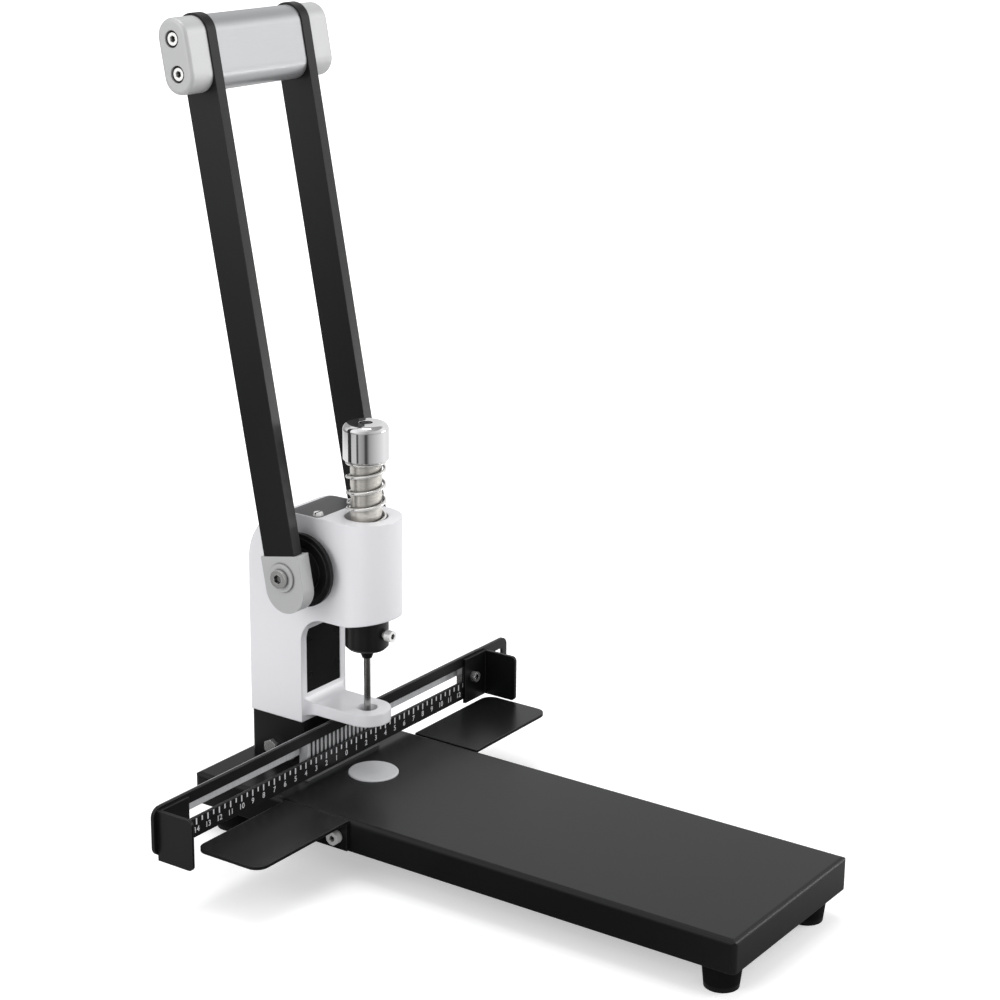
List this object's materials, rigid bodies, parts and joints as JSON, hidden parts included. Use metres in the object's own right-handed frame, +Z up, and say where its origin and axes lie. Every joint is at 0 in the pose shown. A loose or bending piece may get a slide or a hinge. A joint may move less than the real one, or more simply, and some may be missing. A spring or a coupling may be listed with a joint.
{
  "type": "single hole punch",
  "caption": "Bench hole punch with a long paper table, slotted cross gauge with sliding side stops, white head, sprung plunger and a two-arm pull-down lever.",
  "frame": {"origin": "on the bench, under the middle of the object's overall box", "axes": "+Z up, -Y towards the user, +X along the gauge to the user's right"},
  "size_m": [0.352, 0.3992, 0.4999],
  "materials": {
    "black_coat": "satin black powder coat",
    "white_enamel": "glossy white enamel",
    "grey_cover": "satin dark grey",
    "silver_alloy": "fine blasted silver",
    "bright_steel": "bright zinc plated",
    "ground_steel": "ground",
    "spring_steel": "bright drawn wire",
    "chrome": "polished",
    "black_oxide": "blackened",
    "rubber": "matt",
    "bronze": "turned",
    "pad_plastic": "matt"
  },
  "bodies": {
    "base": {"table_tray": "black_coat", "bottom_plate": "black_coat", "wing_left": "black_coat", "wing_right": "black_coat", "head_bracket": "black_coat", "throat_panel": "black_coat", "gauge_fence": "black_coat", "head_casting": "white_enamel", "top_cover": "grey_cover", "gauge_carrier": "silver_alloy", "gauge_rail": "silver_alloy", "foot_screws": "bright_steel", "wing_screws": "bright_steel", "deck_bolts": "bright_steel", "side_bolts": "bright_steel", "top_cover_screws": "bright_steel", "carrier_screws": "bright_steel", "fence_screws": "bright_steel", "rail_screws": "bright_steel", "spring_seat": "bright_steel", "anvil_block": "ground_steel", "corner_posts": "ground_steel", "return_spring": "spring_steel", "throat_panel_screws": "black_oxide", "rubber_feet": "rubber", "guide_sleeve": "bronze", "shaft_bushes": "bronze"},
    "lever": {"lever_shaft": "ground_steel", "gear_sector": "ground_steel", "gear_key": "bright_steel", "hub_left": "black_coat", "hub_right": "black_coat", "hub_keys": "bright_steel", "hub_dowels": "bright_steel", "end_block_left": "silver_alloy", "end_block_right": "silver_alloy", "pivot_washers": "bright_steel", "pivot_bolts": "bright_steel", "arm_left": "black_coat", "arm_right": "black_coat", "grip_bar": "silver_alloy", "grip_cap_left": "silver_alloy", "grip_cap_right": "silver_alloy", "grip_screws": "bright_steel"},
    "plunger": {"plunger": "ground_steel", "plunger_cap": "chrome", "cap_screw": "bright_steel", "chuck": "black_oxide", "chuck_screw": "bright_steel", "punch_pin": "ground_steel"},
    "left_stop": {"stop_left": "black_coat", "stop_screw_left": "bright_steel", "stop_nut_left": "bright_steel"},
    "right_stop": {"stop_right": "black_coat", "stop_screw_right": "bright_steel", "stop_nut_right": "bright_steel"},
    "pad": {"cutting_pad": "pad_plastic"}
  },
  "joints": [
    {"name": "lever_swing", "type": "hinge", "parent": "base", "child": "lever", "pos_m": [0, 0.12734, 0.1711], "axis": [1, 0, 0], "range_deg": [0, 97.4]},
    {"name": "plunger_slide", "type": "slide", "parent": "base", "child": "plunger", "axis": [0, 0, -1], "range_m": [0, 0.034], "stiffness_N_per_m": 4700, "springref_m": -0.002, "deforming": ["return_spring"]},
    {"name": "left_stop_slide", "type": "slide", "parent": "base", "child": "left_stop", "axis": [1, 0, 0], "range_m": [0, 0.111]},
    {"name": "right_stop_slide", "type": "slide", "parent": "base", "child": "right_stop", "axis": [1, 0, 0], "range_m": [-0.088, 0.025]},
    {"name": "pad_turn", "type": "hinge", "parent": "base", "child": "pad", "pos_m": [0, 0.09494, 0.0375], "axis": [0, 0, 1], "continuous": true}
  ],
  "couplings": [
    {"joint": "plunger_slide", "follows": "lever_swing", "m_per_rad": 0.02}
  ]
}
